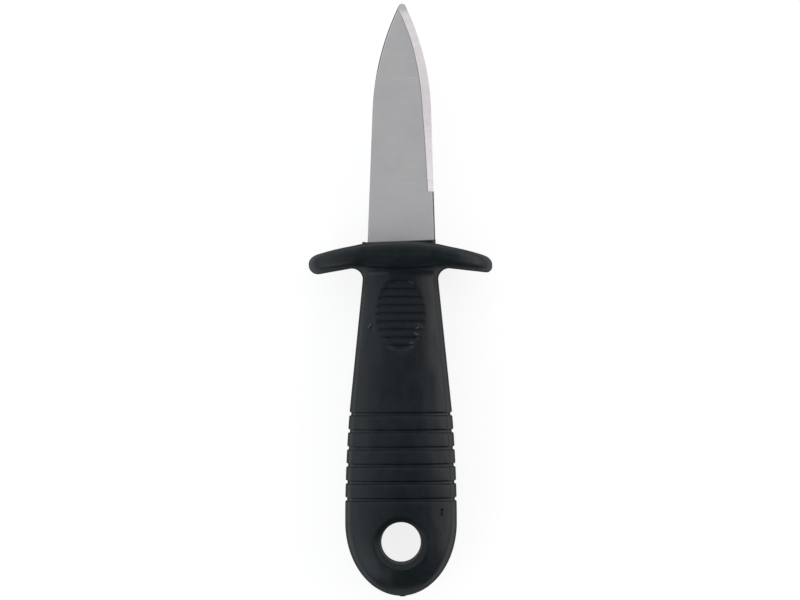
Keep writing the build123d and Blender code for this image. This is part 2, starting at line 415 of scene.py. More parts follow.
# %% Land and slot
land_left, land_right = -10.34, 9.3
land_half_depth, land_corner = 2.2, 0.8
land_low, land_high = 95.52, 96.25
land_edge, land_edge_rows = 0.25, 4
lug_height, lug_width, lug_edge = 0.16, 0.9, 0.4
blade_half_thickness = (blade_high[2] - blade_low[2]) / 2
root_half_width = 9.14
tang_half_width = 5.5
shoulder_distance, tang_distance = 90.4, 47.4
seam = 0.06
blade_lean, lean_start = 0.0046, 30.0


def blade_axis(distance):
    """Gives the x of the blade's middle: the blade leans a hair to the right of the handle's axis."""
    return blade_lean * (distance - lean_start)


def box_section(half_width, half_depth, corner, shift=0.0):
    """Gives where each column meets a rectangle with round corners: straight, quarter circle, straight."""
    turn, inner_x, inner_z = pi / 2 * corner_share, half_width - corner, half_depth - corner
    x = inner_x * face_share, inner_x + corner * np.sin(turn), np.full(side_columns + 1, half_width)
    z = np.full(face_columns, half_depth), inner_z + corner * np.cos(turn), inner_z * (1 - side_share)
    x, z = reflect(np.concatenate(x), np.concatenate(z))
    return x + shift, z


def ring(section, distance):
    """Makes one row of a net from a section and the distance of each of its points from the butt end."""
    return np.stack([section[0], np.broadcast_to(distance, section[0].shape), section[1]], -1)


def land_top(x):
    """Gives the land's top, which slopes up to the right and has a small lug at its left end."""
    slope = land_low + (land_high - land_low) * (x - land_left) / (land_right - land_left)
    return slope + lug_height * smooth((land_left + lug_width - x) / lug_edge)


land_size = (land_right - land_left) / 2, land_half_depth, land_corner, (land_right + land_left) / 2
base = box_section(*land_size)
last = guard[-1, :, ::2].T
land = [last + (np.array(base) - last) * share for share in steps(top_rows)[1:]]
land = [ring(section, top_of_guard(section[0])) for section in land]
for angle in np.linspace(0, pi / 2, land_edge_rows):
    draw_in = land_edge * (1 - np.cos(angle))
    edge = box_section(land_size[0] - draw_in, land_size[1] - draw_in, land_corner - draw_in, land_size[3])
    land.append(ring(edge, land_top(edge[0]) - land_edge * (1 - np.sin(angle))))
slot_size = root_half_width + seam, blade_half_thickness + seam, 3 * seam
tang_size = tang_half_width + seam, blade_half_thickness + seam / 2, 2 * seam
slot = box_section(*slot_size, blade_axis(guard_top))
land.append(ring(slot, land_top(slot[0])))
slot_rows = (slot_size, shoulder_distance), (tang_size, shoulder_distance), (tang_size, tang_distance)
land += [ring(box_section(*size, blade_axis(distance)), distance - seam) for size, distance in slot_rows]
land = np.array(land)
print("land and slot net", land.shape)

# %% [markdown]
# ## From nets to a mesh
# A net becomes a mesh when each of its cells becomes a face. The points are numbered first, so that faces can
# share them, and a hole can be let into the net afterwards: the cells of a block go, and a round hole takes
# their place, joined to the block's edge above and below and down its wall.

# %% Net helpers


def net_faces(numbers):
    """Makes a four-sided face from each cell of a net of point numbers, facing outwards."""
    corners = numbers[:-1, :-1], numbers[:-1, 1:], numbers[1:, 1:], numbers[1:, :-1]
    return np.stack(corners, -1).reshape(-1, 4)


def number_points(net):
    """Lists a net's points, gives each its number, and marks each cell as still having its face."""
    numbers = np.arange(net[..., 0].size).reshape(net.shape[:2])
    return net.reshape(-1, 3), numbers, np.ones((len(net) - 1, net.shape[1]), bool)


def close_net(points, numbers, cells, first_pole, last_pole):
    """Joins the last column to the first, and each end to a pole of its own with a fan of triangles."""
    skin = net_faces(np.c_[numbers, numbers[:, :1]])[cells.ravel()]
    first, last, ones = numbers[0], numbers[-1], np.ones_like(numbers[0])
    fans = [
        np.stack([np.roll(first, -1), first, ones * len(points)], -1),
        np.stack([last, np.roll(last, -1), ones * (len(points) + 1)], -1),
    ]
    return np.concatenate([points, [first_pole, last_pole]]), [skin, *fans]


wall_levels = 0.75, 0.4, 0.12, 0.05
outer_rows = 6


def let_in_hole(points, numbers, cells, first, last, above, below, centre, radii, drops, waist, height):
    """Takes a block of cells out of a net's upper and lower sides and lets a round hole in between them.

    Each new column runs from a point of the block's edge straight towards the hole's axis. Seen from above a
    point is the centre plus its direction times its reach, and its height is the surface's less a drop. Down
    the wall the radius falls evenly to the waist at mid height, the draft that lets the moulding's pin out.
    """
    long, wide = last - first, len(above) - 1
    loop_row = np.r_[first:last, [last] * wide, last:first:-1, [first] * wide]
    loop_column = np.r_[[wide] * long, wide:0:-1, [0] * long, 0:wide]
    upper, lower = numbers[loop_row, above[loop_column]], numbers[loop_row, below[loop_column]]
    away = points[upper, :2] - centre
    far = np.hypot(*away.T)
    outer = far + (radii[0] - far) * steps(outer_rows)[1:-1]
    reach = np.concatenate([outer, np.broadcast_to(radii[:, None], (len(radii), len(far)))])
    drop = np.concatenate([np.zeros(len(outer)), drops])[:, None]
    along_x, along_y = (away / far[:, None]).T
    x, y = centre[0] + reach * along_x, centre[1] + reach * along_y
    top = height(x, y) - drop
    upper_side = np.stack([x, y, top], -1)
    level = np.array([*wall_levels, 0, *(-share for share in wall_levels[::-1])])[:, None]
    reach = waist + (radii[-1] - waist) * np.abs(level)
    wall = np.stack([centre[0] + reach * along_x, centre[1] + reach * along_y, top[-1] * level], -1)
    lower_side = upper_side[::-1] * [1, 1, -1]
    new = np.concatenate([upper_side, wall, lower_side])
    new_numbers = len(points) + np.arange(new.shape[0] * new.shape[1]).reshape(new.shape[:2])
    loop = np.concatenate([upper[None], new_numbers, lower[None]])
    cells[first:last, above[:-1]] = False
    cells[first:last, below[1:]] = False
    return np.concatenate([points, new.reshape(-1, 3)]), net_faces(np.c_[loop, loop[:, :1]])


weld_distance = 0.002


def weld(mesh):
    """Merges points that fall together, as they do where the blade's flat runs out at the tip."""
    work = bmesh.new()
    work.from_mesh(mesh)
    bmesh.ops.remove_doubles(work, verts=work.verts, dist=weld_distance * millimetre)
    work.to_mesh(mesh)
    work.free()


def make_piece(name, points, face_lists, sharp):
    """Puts points and faces into a mesh in the knife's frame, smooth but for edges sharper than an angle."""
    placed = (points + [0, butt_y, mid_z]) * millimetre
    faces = [face for part in face_lists for face in part.tolist()]
    mesh = bpy.data.meshes.new(name)
    mesh.from_pydata(placed.tolist(), [], faces)
    weld(mesh)
    mesh.validate()
    mesh.shade_smooth()
    mesh.set_sharp_from_angle(angle=sharp)
    triangles = sum(len(face.vertices) - 2 for face in mesh.polygons)
    print(name, len(mesh.vertices), "points", triangles, "triangles")
    return put(name, mesh)


# %% [markdown]
# ## The handle
# The nets of the grip, the guard and the land follow each other, so they are stacked into one, after the
# small stub left on the butt where the plastic was fed in. Then the hanging hole is let in. Its lip goes down
# in two steps with a gentler slope between them. The photograph's light and dark rings show a slope at each
# radius, so the slopes are given, and the heights are those slopes added up on the way inwards.

# %% Handle
hole_distance, hole_radius = 14.7, 5.3
lip_radii = 8.0, 7.4, 7.2, 7.08, 6.96, 6.86, 6.78, 6.66, 6.56, 6.46, 6.3, 6.1, 5.98, 5.88, 5.8, 5.76
lip_slopes = np.radians([0, 2, 8, 20, 34, 46, 56, 56, 44, 30, 22, 22, 32, 50, 68, 78])
lip_drops = np.cumsum(-np.diff(lip_radii) * np.tan((lip_slopes[:-1] + lip_slopes[1:]) / 2))
hole_columns = 19

stub_place = 0.4
stub_rows = (0, 0.45), (0, 0.66), (0.03, 0.76), (0.08, 0.8), (0.25, 0.85)
stub_net = [ring((stub_place + reach * out_x, reach * out_z), distance) for distance, reach in stub_rows]
points, numbers, cells = number_points(np.concatenate([stub_net, grip, guard, land]))


def face_height(x, distance):
    """Gives the height of the broad face over a point: the face's arc at that distance."""
    half_width, half_depth = grip_size(distance)
    radius = face_radius_share * half_width
    return half_depth - radius + np.sqrt(radius**2 - x**2)


above = np.arange(-hole_columns, hole_columns + 1) % column_count
below = (2 * quarter - np.arange(-hole_columns, hole_columns + 1)) % column_count
hole_rows = len(stub_net) + hole_row, len(stub_net) + hole_last_row
points, hole_faces = let_in_hole(
    points, numbers, cells, *hole_rows, above, below, centre=np.array([0, hole_distance]),
    radii=np.array(lip_radii), drops=np.r_[0, lip_drops], waist=hole_radius, height=face_height,
)
poles = [stub_place, 0, 0], [blade_axis(tang_distance), tang_distance - seam, 0]
points, faces = close_net(points, numbers, cells, *poles)
handle = make_piece("handle_moulding", points, [*faces, hole_faces], sharp=radians(40))
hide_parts("handle")
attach(handle, "root")


# %% [markdown]
# ## The blade
# The blade is stamped from flat sheet, and its right edge is ground to a bevel from a square heel to the tip.
# Its net has rows along the blade and columns round its section: left edge, upper face, bevel, right edge,
# and back underneath. One column lies exactly on the line where the bevel starts, so that line is crisp, and
# the one before it lies a hair away, so that the thin dark line there gets faces of its own.

# %% Blade outline
taper = radians(2)
ogive_radius, tip_radius = 70.0, 1.0
heel_distance = 109.2
bevel_width, heel_bevel_width = 2.1, 1.5
swell_distance, swell_length, swell_width = 136.5, 15.0, 0.22
side_normal = np.array([np.cos(taper), np.sin(taper)])
side_direction = np.array([-np.sin(taper), np.cos(taper)])
side_offset = side_normal @ [root_half_width, guard_top]
tip_centre = np.array([0, knife_length - tip_radius])
inward = side_normal @ tip_centre - side_offset + ogive_radius
forward = side_direction @ tip_centre - np.sqrt((ogive_radius - tip_radius) ** 2 - inward**2)
ogive_x, ogive_distance = side_normal * (side_offset - ogive_radius) + side_direction * forward
ogive_start = ogive_distance + ogive_radius * side_normal[1]
tip_start = tip_centre[1] + tip_radius * (tip_centre[1] - ogive_distance) / (ogive_radius - tip_radius)


def side_line(distance, draw_in):
    """Gives the x of the right side, moved in by draw_in: a leaning line, then a long arc tangent to it."""
    line = (side_offset - draw_in - side_normal[1] * distance) / side_normal[0]
    squared = (ogive_radius - draw_in) ** 2 - (distance - ogive_distance) ** 2
    return np.where(distance < ogive_start, line, ogive_x + np.sqrt(np.clip(squared, 0, None)))


def half_outline(distance):
    """Gives half the blade's width: its side, and near the end the small circle of the tip."""
    circle = np.sqrt(np.clip(tip_radius**2 - (distance - tip_centre[1]) ** 2, 0, None))
    return np.where(distance < tip_start, side_line(distance, 0), circle)


def bevel_at(distance):
    """Gives the bevel's width: it grows from the heel to where the side curves, and swells in mid curve."""
    share = np.clip((distance - heel_distance) / (ogive_start - heel_distance), 0, 1)
    swell = np.clip(1 - ((distance - swell_distance) / swell_length) ** 2, 0, 1) ** 2
    return heel_bevel_width + (bevel_width - heel_bevel_width) * share + swell_width * swell


print("the side curves from", ogive_start, "mm and the tip from", tip_start, "mm")

# %% Blade net
edge_thickness, edge_thinning = 0.35, 0.25
stamped_corner = 0.15
rolled_width, rolled_depth = 0.75, 0.5
tip_roll, tip_roll_start, tip_roll_length = 0.4, 138.0, 6.0
most_drop, least_half = 0.4, 0.02
shoulder_corner = 1.5
tang_end = shoulder_distance - 0.03
corner_rows, tang_row_count, root_row_count, ground_row_count, tip_rows = 5, 30, 16, 60, 9
tang_start, root_start = tang_distance + 2.5, 92.5
quarter_turns = np.linspace(0, pi / 2, corner_rows)
tip_turns = np.linspace(np.arcsin((tip_start - tip_centre[1]) / tip_radius), pi / 2, tip_rows)[:-1]
heel_step = 0.12
crease_width = 0.2


def round_corner(distance, half_width):
    """Gives the rows of a corner rounded by a quarter circle: how far along each is, and half its width."""
    along = distance + shoulder_corner * (1 - np.cos(quarter_turns))
    return list(zip(along, half_width - shoulder_corner * (1 - np.sin(quarter_turns))))


tang_rows = round_corner(tang_distance, tang_half_width)
tang_rows += [(distance, tang_half_width) for distance in np.linspace(tang_start, tang_end, tang_row_count)]
shoulder_rows = round_corner(shoulder_distance, side_line(shoulder_distance, 0))
free_rows = np.r_[
    np.linspace(root_start, heel_distance - heel_step, root_row_count),
    heel_distance + heel_step * np.arange(3),
    np.linspace(heel_distance + 1, tip_start, ground_row_count),
    (tip_centre[1] + tip_radius * np.sin(tip_turns))[1:],
]
free_rows = list(zip(free_rows, half_outline(free_rows)))
blade_rows = np.array(tang_rows + shoulder_rows + free_rows)
blade_distance, blade_half = blade_rows.T[..., None]
ground = (blade_distance > heel_distance).astype(float)

full = blade_half_thickness
near_tip = smooth((blade_distance - tip_roll_start) / tip_roll_length)
left_corner = np.minimum(stamped_corner + tip_roll * near_tip, blade_half / 3)
crease = np.where(
    ground > 0,
    np.maximum(side_line(blade_distance, bevel_at(blade_distance)), -blade_half + left_corner),
    blade_half - rolled_width,
)


def blade_top(x, distance):
    """Gives the height of the ground face: the edge's half thickness plus a slope times the way in from it.

    Where the bevel is wider the wheel went deeper, so the edge is thinner there by a share of that width.
    """
    width = bevel_at(distance)
    edge_half = edge_thickness / 2 - edge_thinning * (width - bevel_width)
    line_way = side_offset - side_normal[0] * x - side_normal[1] * distance
    arc_way = ogive_radius - np.hypot(x - ogive_x, distance - ogive_distance)
    way_in = np.where(distance < ogive_start, line_way, arc_way)
    return np.minimum(full, edge_half + (full - edge_half) * way_in / width)


left_columns, flat_columns, bevel_columns = 4, 20, 6
corner_turns = np.linspace(0, pi / 2, left_columns)
left_x = -blade_half + left_corner * (1 - np.cos(corner_turns))
flat_x = left_x[:, -1:] + (crease - left_x[:, -1:]) * np.linspace(0, 1, flat_columns + 1)[1:]
flat_x[:, -2:-1] = np.maximum(flat_x[:, -3:-2], crease - crease_width)
bevel_x = crease + (blade_half - crease) * np.linspace(0, 1, bevel_columns + 1)[1:]
rolled_turns = np.linspace(0, pi / 2, bevel_columns + 1)[1:]
rolled_x = blade_half - rolled_width * (1 - np.sin(rolled_turns))
upper_x = np.c_[left_x, flat_x, np.where(ground > 0, bevel_x, rolled_x)]
height = np.where(ground > 0, blade_top(upper_x, blade_distance), full)
drop_left, drop_right = np.zeros((2, *upper_x.shape))
drop_left[:, :left_columns] = left_corner * (1 - np.sin(corner_turns))
drop_right[:, -bevel_columns:] = rolled_depth * (1 - np.cos(rolled_turns)) * (1 - ground)
upper_z = np.maximum(height - np.minimum(drop_left, height * most_drop) - drop_right, least_half)
section_x, section_z = np.c_[upper_x, upper_x[:, ::-1]], np.c_[upper_z, -upper_z[:, ::-1]]
blade_net = np.stack([section_x, np.broadcast_to(blade_distance, section_x.shape), section_z], -1)
print("blade net", blade_net.shape)

# %% Blade
tang_hole_radius, tang_hole_edge, tang_hole_block = 2.5, 0.1, 3.6
tang_holes, tang_hole_columns = (guard_top - 14.5, guard_top - 31.5), (7, 21)
points, numbers, cells = number_points(blade_net)
above = np.arange(*tang_hole_columns)
below = blade_net.shape[1] - 1 - above
holes = []
for middle in tang_holes:
    block = np.searchsorted(blade_distance[:, 0], [middle - tang_hole_block, middle + tang_hole_block])
    points, faces = let_in_hole(
        points, numbers, cells, *block, above, below,
        centre=np.array([0, middle]), radii=tang_hole_radius + np.array([tang_hole_edge, 0]),
        drops=[0, tang_hole_edge], waist=tang_hole_radius, height=lambda x, y: np.full(x.shape, full),
    )
    holes.append(faces)
points, faces = close_net(points, numbers, cells, [0, tang_distance, 0], [0, knife_length, 0])
points[:, 0] += blade_axis(points[:, 1])
blade = make_piece("blade_steel_stamping", points, [*faces, *holes], sharp=radians(15))
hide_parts("blade")
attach(blade, "root")

# %% [markdown]
# ## Faces that look different
# The blade has three finishes: the flat as the sheet was rolled, the bevel as it was ground, and the edges as
# they were sheared, whose dark grey is partly a painted reflection of the dark room. The mesh marks its own
# faces for this, since a face's mark gives a crisp border. The strip next to the bevel has a mark too, for a
# thin dark line painted along it.

# %% Marks on the blade's faces


def mark_faces(piece, name, test):
    """Gives each face of a piece the mark 1 or 0.

    The test takes its middle's x and distance, how far its normal leans to the right, and how level it lies.
    """
    mesh = piece.data
    middles, normals = np.empty((2, len(mesh.polygons), 3))
    mesh.polygons.foreach_get("center", middles.ravel())
    mesh.polygons.foreach_get("normal", normals.ravel())
    places = middles / millimetre - [0, butt_y, mid_z]
    marks = test(places[:, 0], places[:, 1], normals[:, 0], np.abs(normals[:, 2])).astype(float)
    mesh.attributes.new(name, "FLOAT", "FACE").data.foreach_set("value", marks)
    print(name, "is on", int(marks.sum()), "of", len(marks), "faces of", piece.name)


bevel_lean, bevel_level, edge_level, flat_level = 0.2, 0.5, 0.9, 0.99


def is_ground(x, distance, lean, level):
    """Picks the bevel: past the heel, leaning to the right, neither level nor upright."""
    ground_part = (distance > heel_distance + heel_step) & (lean > bevel_lean)
    return ground_part & (level > bevel_level) & (level < flat_level)


def is_crease(x, distance, lean, level):
    """Picks the thin strip of the flat that ends at the line where the bevel starts."""
    strip = side_line(distance, bevel_at(distance) + crease_width / 2) + blade_axis(distance)
    return (distance > heel_distance) & (level > flat_level) & (np.abs(strip - x) < crease_width / 4)


def is_sheared(x, distance, lean, level):
    """Picks the upright edges that the stamp cut: the left one, and the right one below the heel."""
    return (level < edge_level) & ((lean < 0) | (distance < heel_distance))


for name, test in (("ground", is_ground), ("crease", is_crease), ("sheared", is_sheared)):
    mark_faces(blade, name, test)

# %% [markdown]
# ## Node helpers
# A material is a graph of nodes. Typing out each link would take hundreds of lines, so one helper adds a node
# and connects it at once, and another opens a group with its named sockets. A mask is a number from 0 to 1
# that changes over the surface. Positions are in millimetres, which keeps the sizes readable.

# %% Node helpers


def add(tree, kind, inputs, **settings):
    """Adds a node: settings are its properties, and each input takes a value or another node's output."""
    made = tree.nodes.new("ShaderNode" + kind)
    for name, value in settings.items():
        setattr(made, name, value)
    for key, value in inputs.items():
        if isinstance(value, bpy.types.NodeSocket):
            tree.links.new(value, made.inputs[key])
        else:
            made.inputs[key].default_value = value
    return made


def maths(tree, operation, *values):
    """Adds a Math node and gives its output."""
    return add(tree, "Math", dict(enumerate(values)), operation=operation).outputs[0]


def vector(tree, operation, first, second):
    """Adds a Vector Math node and gives its output, a plain value for a distance or a dot product."""
    made = add(tree, "VectorMath", {0: first, 1: second}, operation=operation)
    return made.outputs["Value" if operation in ("DISTANCE", "DOT_PRODUCT") else "Vector"]


def axis(tree, place, number):
    """Gives one of the three numbers of a place."""
    return add(tree, "SeparateXYZ", {0: place}).outputs[number]


def turned(tree, place, angle):
    """Turns a place about the vertical."""
    return add(tree, "VectorRotate", {"Vector": place, "Angle": angle}, rotation_type="Z_AXIS").outputs[0]


def ramp(tree, value, low=0.0, high=1.0, to_low=0.0, to_high=1.0):
    """Turns the range from low to high into a smooth rise from to_low to to_high."""
    inputs = {"Value": value, "From Min": low, "From Max": high, "To Min": to_low, "To Max": to_high}
    return add(tree, "MapRange", inputs, interpolation_type="SMOOTHSTEP").outputs[0]


def blend(tree, share, first, second):
    """Mixes two colours by a share. A Mix node's colours are its sockets 6 and 7, and its result is 2."""
    pair = [value if isinstance(value, bpy.types.NodeSocket) else (*value, 1) for value in (first, second)]
    return add(tree, "Mix", {"Factor": share, 6: pair[0], 7: pair[1]}, data_type="RGBA").outputs[2]


def open_group(name, inputs, output):
    """Makes a node group with named inputs and one output, and gives it with its two end nodes."""
    group = bpy.data.node_groups.new(name, "ShaderNodeTree")
    for label, value in inputs.items():
        kind = "NodeSocketVector" if isinstance(value, tuple) else "NodeSocketFloat"
        group.interface.new_socket(label, in_out="INPUT", socket_type=kind).default_value = value
    group.interface.new_socket(output, in_out="OUTPUT", socket_type="NodeSocketFloat")
    return group, group.nodes.new("NodeGroupInput").outputs, group.nodes.new("NodeGroupOutput").inputs[0]


def place(tree, group, **values):
    """Places a group in a material with its own values and gives the group's output."""
    made = tree.nodes.new("ShaderNodeGroup")
    made.node_tree = group
    for name, value in values.items():
        made.inputs[name].default_value = value
    return made.outputs[0]


def uneven(tree, across, along, detail, low, high):
    """Places unevenness: its grain's size across and along the knife, its detail and the range it spreads."""
    return place(tree, unevenness, Size=(across, along, across), Detail=detail, Low=low, High=high)


def position(tree):
    """Gives the place on the piece in millimetres."""
    here = add(tree, "TexCoord", {}).outputs["Object"]
    return add(tree, "VectorMath", {0: here, "Scale": 1 / millimetre}, operation="SCALE").outputs[0]


# %% [markdown]
# ## Unevenness
# Nothing made is even. Moulded plastic has its mould's fine grain and clouds of duller and glossier skin, and
# rolled steel has grain lines. One group serves for all of them: a noise whose grain has a size along each
# axis. A round size gives pebbles or clouds, and a long thin one gives brush lines.

# %% Group: unevenness
unevenness, given, result = open_group(
    "unevenness", {"Size": (1.0, 1.0, 1.0), "Detail": 2.0, "Low": 0.3, "High": 0.7}, "Mask"
)
shrunk = vector(unevenness, "DIVIDE", position(unevenness), given["Size"])
noise = add(unevenness, "TexNoise", {"Vector": shrunk, "Scale": 1.0, "Detail": given["Detail"]}).outputs[0]
unevenness.links.new(ramp(unevenness, noise, given["Low"], given["High"]), result)

# %% [markdown]
# ## Scratches
# A scratch is thin, nearly straight and alone. The group squeezes a noise into long thin cells that lie along
# one direction, keeps only their highest crests, and lets a second, broader noise break the lines up.

# %% Group: scratches
scratches, given, result = open_group(
    "scratches", {"Turn": 0.0, "Length": 8.0, "Width": 0.12, "Rarity": 0.68, "Offset": 0.0}, "Mask"
)
rarity_edge, break_size, break_low, break_high = 0.05, 0.25, 0.45, 0.6
cell = add(scratches, "CombineXYZ", {0: given["Length"], 1: given["Width"], 2: given["Length"]}).outputs[0]
moved = vector(scratches, "ADD", turned(scratches, position(scratches), given["Turn"]), given["Offset"])
shrunk = vector(scratches, "DIVIDE", moved, cell)
lines = add(scratches, "TexNoise", {"Vector": shrunk, "Scale": 1.0, "Detail": 1.0}).outputs[0]
broken = add(scratches, "TexNoise", {"Vector": moved, "Scale": break_size, "Detail": 2.0}).outputs[0]
crests = ramp(scratches, lines, given["Rarity"], maths(scratches, "ADD", given["Rarity"], rarity_edge))
kept = ramp(scratches, broken, break_low, break_high)
scratches.links.new(maths(scratches, "MULTIPLY", crests, kept), result)

# %% [markdown]
# ## Marks of use
# A nick, a pit and a scuffed patch sit at known places of the handle's upper side. The group draws a soft
# ellipse there: 1 inside it, 0 outside.

# %% Group: mark
mark, given, result = open_group(
    "mark", {"Place": (0.0, 0.0, 0.0), "Half size": (1.0, 1.0, 100.0), "Turn": 0.0, "Softness": 0.5}, "Mask"
)
away = vector(mark, "SUBTRACT", position(mark), given["Place"])
shares = vector(mark, "DIVIDE", turned(mark, away, given["Turn"]), given["Half size"])
far = vector(mark, "DISTANCE", shares, (0, 0, 0))
upper = ramp(mark, axis(mark, away, 2), -0.5, 0.5)
inside = ramp(mark, far, maths(mark, "SUBTRACT", 1.0, given["Softness"]), 1.0, 1.0, 0.0)
mark.links.new(maths(mark, "MULTIPLY", inside, upper), result)

# %% [markdown]
# ## From masks to a material
# Both materials are put together in the same way: colours lie over each other, each by a mask and a strength,
# and roughness and relief, which is in millimetres, are masks added up by weight.

# %% Material helpers


def open_material(name):
    """Makes a material with nodes, and gives it with its tree and its shader."""
    material = bpy.data.materials.new(name)
    material.use_nodes = True
    return material, material.node_tree, material.node_tree.nodes["Principled BSDF"]


def layered(tree, colour, *layers):
    """Lays colours over the first one, each by its mask times its strength."""
    for mask, strength, over in layers:
        colour = blend(tree, maths(tree, "MULTIPLY", mask, strength), colour, over)
    return colour


def weighted(tree, base, *layers):
    """Adds masks to a base value, each times its weight."""
    for mask, weight in layers:
        base = maths(tree, "MULTIPLY_ADD", mask, weight, base)
    return base


def connect(tree, shader, colour, roughness, relief):
    """Connects a material's colour, roughness and relief to its shader."""
    bump = add(tree, "Bump", {"Strength": 1.0, "Distance": millimetre, "Height": relief}).outputs[0]
    for name, output in (("Base Color", colour), ("Roughness", roughness), ("Normal", bump)):
        tree.links.new(output, shader.inputs[name])


def from_hole(tree):
    """Gives how far a place is from the hanging hole's axis."""
    level = vector(tree, "MULTIPLY", position(tree), (1, 1, 0))
    return vector(tree, "DISTANCE", level, (0, hole_distance + butt_y, 0))


# %% [markdown]
# ## Black plastic
# The handle is a hard black plastic with a satin skin. A plain black would look like a hole in the picture.
# The real one shows by its gloss: a fine grain blurs the reflections, slow waves from cooling bend them, and
# scuffs and nicks catch light. Roughness grows towards the outline, where a satin skin loses its mirror, but
# not in the hanging hole, whose pin was polished so that it would slide out.

# %% Marks on the plastic
mark_half_depth = 100.0


def marked(tree, *places):
    """Draws marks on the upper side and joins them.

    Each has its x, its distance from the butt end, its turn in degrees, two half sizes and its softness.
    """
    joined = 0.0
    for x, distance, turn, half_width, half_length, softness in places:
        sizes = {"Half size": (half_width, half_length, mark_half_depth), "Softness": softness}
        spot = place(tree, mark, Place=(x, distance + butt_y, mid_z), Turn=radians(turn), **sizes)
        joined = maths(tree, "MAXIMUM", joined, spot)
    return joined


plastic, tree, shader = open_material("handle_plastic")
scuffed_area = marked(tree, (4.4, 72.2, 0, 2.6, 3.0, 0.7), (2.9, 69.0, 0, 1.6, 1.4, 0.6))
specks = marked(
    tree,
    (4.5, 72.5, -40, 1.1, 0.3, 0.9),
    (4.2, 70.9, 20, 1.2, 0.34, 0.9),
    (2.9, 68.5, -10, 1.0, 0.32, 0.9),
    (-8.4, 73.0, -57, 1.3, 0.34, 0.9),
    (9.8, 77.1, 0, 0.2, 0.2, 0.5),
    (8.7, 66.5, 0, 0.2, 0.22, 0.5),
)
# Pits and a nick: sunk in the relief, rougher, and painted near-black as painted shade in their hollows.
pits_with_painted_shade = marked(
    tree,
    (11.0, 23.6, 12, 0.42, 0.6, 0.3),
    (10.9, 22.5, -14, 0.38, 0.62, 0.3),
    (-8.0, 72.7, -57, 1.0, 0.2, 0.5),
)
print("marks on the plastic:", len(tree.nodes), "nodes")

# %% Material: handle plastic
plastic_ior = 1.45
deep_black, grey_black = (0.0012, 0.0062, 0.0092), (0.0024, 0.0084, 0.0120)
# The near-black for the pits and the nick is painted shade in their hollows, not a colour of the plastic.
scuffed_grey, pit_painted_shade = (0.09, 0.11, 0.125), (0.0012, 0.0016, 0.0018)
rough_outline, outline_start, outline_end = 0.45, 0.55, 0.95
hole_wall, hole_lip = 5.8, 6.2
seam_half_width, seam_fade = 0.05, 0.14

shader.inputs["IOR"].default_value = plastic_ior
grain = uneven(tree, 0.16, 0.16, 2.0, 0.3, 0.7)
cloud = uneven(tree, 3.0, 4.5, 4.0, 0.35, 0.65)
wave = uneven(tree, 7.0, 13.0, 1.0, 0.25, 0.75)
flow = uneven(tree, 0.9, 9.0, 2.0, 0.4, 0.62)
ragged = uneven(tree, 0.3, 0.3, 3.0, 0.38, 0.56)
rubbed = place(tree, scratches, Turn=radians(38), Length=3.0, Width=0.16, Rarity=0.62)
knocked = place(tree, scratches, Turn=radians(-52), Length=2.0, Width=0.13, Rarity=0.66, Offset=40.0)
scuffs = maths(tree, "MAXIMUM", rubbed, knocked)
scuffs = maths(tree, "MULTIPLY", scuffs, ramp(tree, scuffed_area, to_low=0.10, to_high=0.7))
pale = maths(tree, "MAXIMUM", scuffs, maths(tree, "MULTIPLY", specks, ragged))
from_seam = maths(tree, "ABSOLUTE", maths(tree, "SUBTRACT", axis(tree, position(tree), 2), mid_z))
seam_line = ramp(tree, from_seam, seam_half_width, seam_fade, 1.0, 0.0)
facing = add(tree, "LayerWeight", {"Blend": 0.5}).outputs["Facing"]
outside_hole = ramp(tree, from_hole(tree), hole_wall, hole_lip)
outline = maths(tree, "MULTIPLY", ramp(tree, facing, outline_start, outline_end), outside_hole)

colour = blend(tree, cloud, deep_black, grey_black)
colour = layered(tree, colour, (pale, 0.9, scuffed_grey), (pits_with_painted_shade, 1.0, pit_painted_shade))
roughness = ramp(tree, cloud, to_low=0.30, to_high=0.36)
roughness = weighted(tree, roughness, (flow, 0.03), (pale, 0.2), (pits_with_painted_shade, 0.6), (outline, rough_outline))
relief = weighted(tree, 0.0, (grain, 0.010), (wave, 0.16), (flow, 0.004), (pale, 0.03), (pits_with_painted_shade, -0.12))
relief = weighted(tree, relief, (seam_line, 0.05))
connect(tree, shader, colour, roughness, relief)
handle.data.materials.append(plastic)
print("handle plastic:", len(tree.nodes), "nodes")

# %% [markdown]
# ## Blade steel
# Stainless sheet keeps the faint grain of its rolling, which here runs across the blade, and slow tints and
# stains of handling. The bevel is brighter because grinding left it smoother and because it leans towards the
# light. The bevel is painted darker over its last few millimetres to the tip. Sheared edges are dull, and
# their dark grey is partly a painted reflection of the dark room. A thin dark line is painted where the bevel
# starts.
# All are one material: the marks on the faces pick the values.

# %% Material: blade steel
tip_darkening_start, tip_darkening_end = 3.5, 0.8

steel, tree, shader = open_material("blade_steel")
shader.inputs["Metallic"].default_value = 1.0
ground, creased, sheared = (
    add(tree, "Attribute", {}, attribute_name=name).outputs["Fac"] for name in ("ground", "crease", "sheared")
)
tints = uneven(tree, 11.0, 15.0, 2.0, 0.35, 0.65)
rolling = uneven(tree, 9.0, 0.10, 4.0, 0.3, 0.7)
bands = uneven(tree, 30.0, 2.4, 3.0, 0.35, 0.65)
stains = uneven(tree, 6.0, 5.0, 5.0, 0.4, 0.7)
grinding = uneven(tree, 4.0, 0.07, 3.0, 0.3, 0.7)
fine_cuts = place(tree, scratches, Turn=radians(8), Length=7.0, Width=0.14, Rarity=0.66)
cross_cuts = place(tree, scratches, Turn=radians(-62), Length=5.0, Width=0.12, Rarity=0.70, Offset=25.0)
cuts = maths(tree, "MAXIMUM", fine_cuts, cross_cuts)
tip_y = butt_y + knife_length
# The bevel's colour darkens over its last few millimetres to the tip.
tip_darkening = ramp(tree, axis(tree, position(tree), 1), tip_y - tip_darkening_start, tip_y - tip_darkening_end)

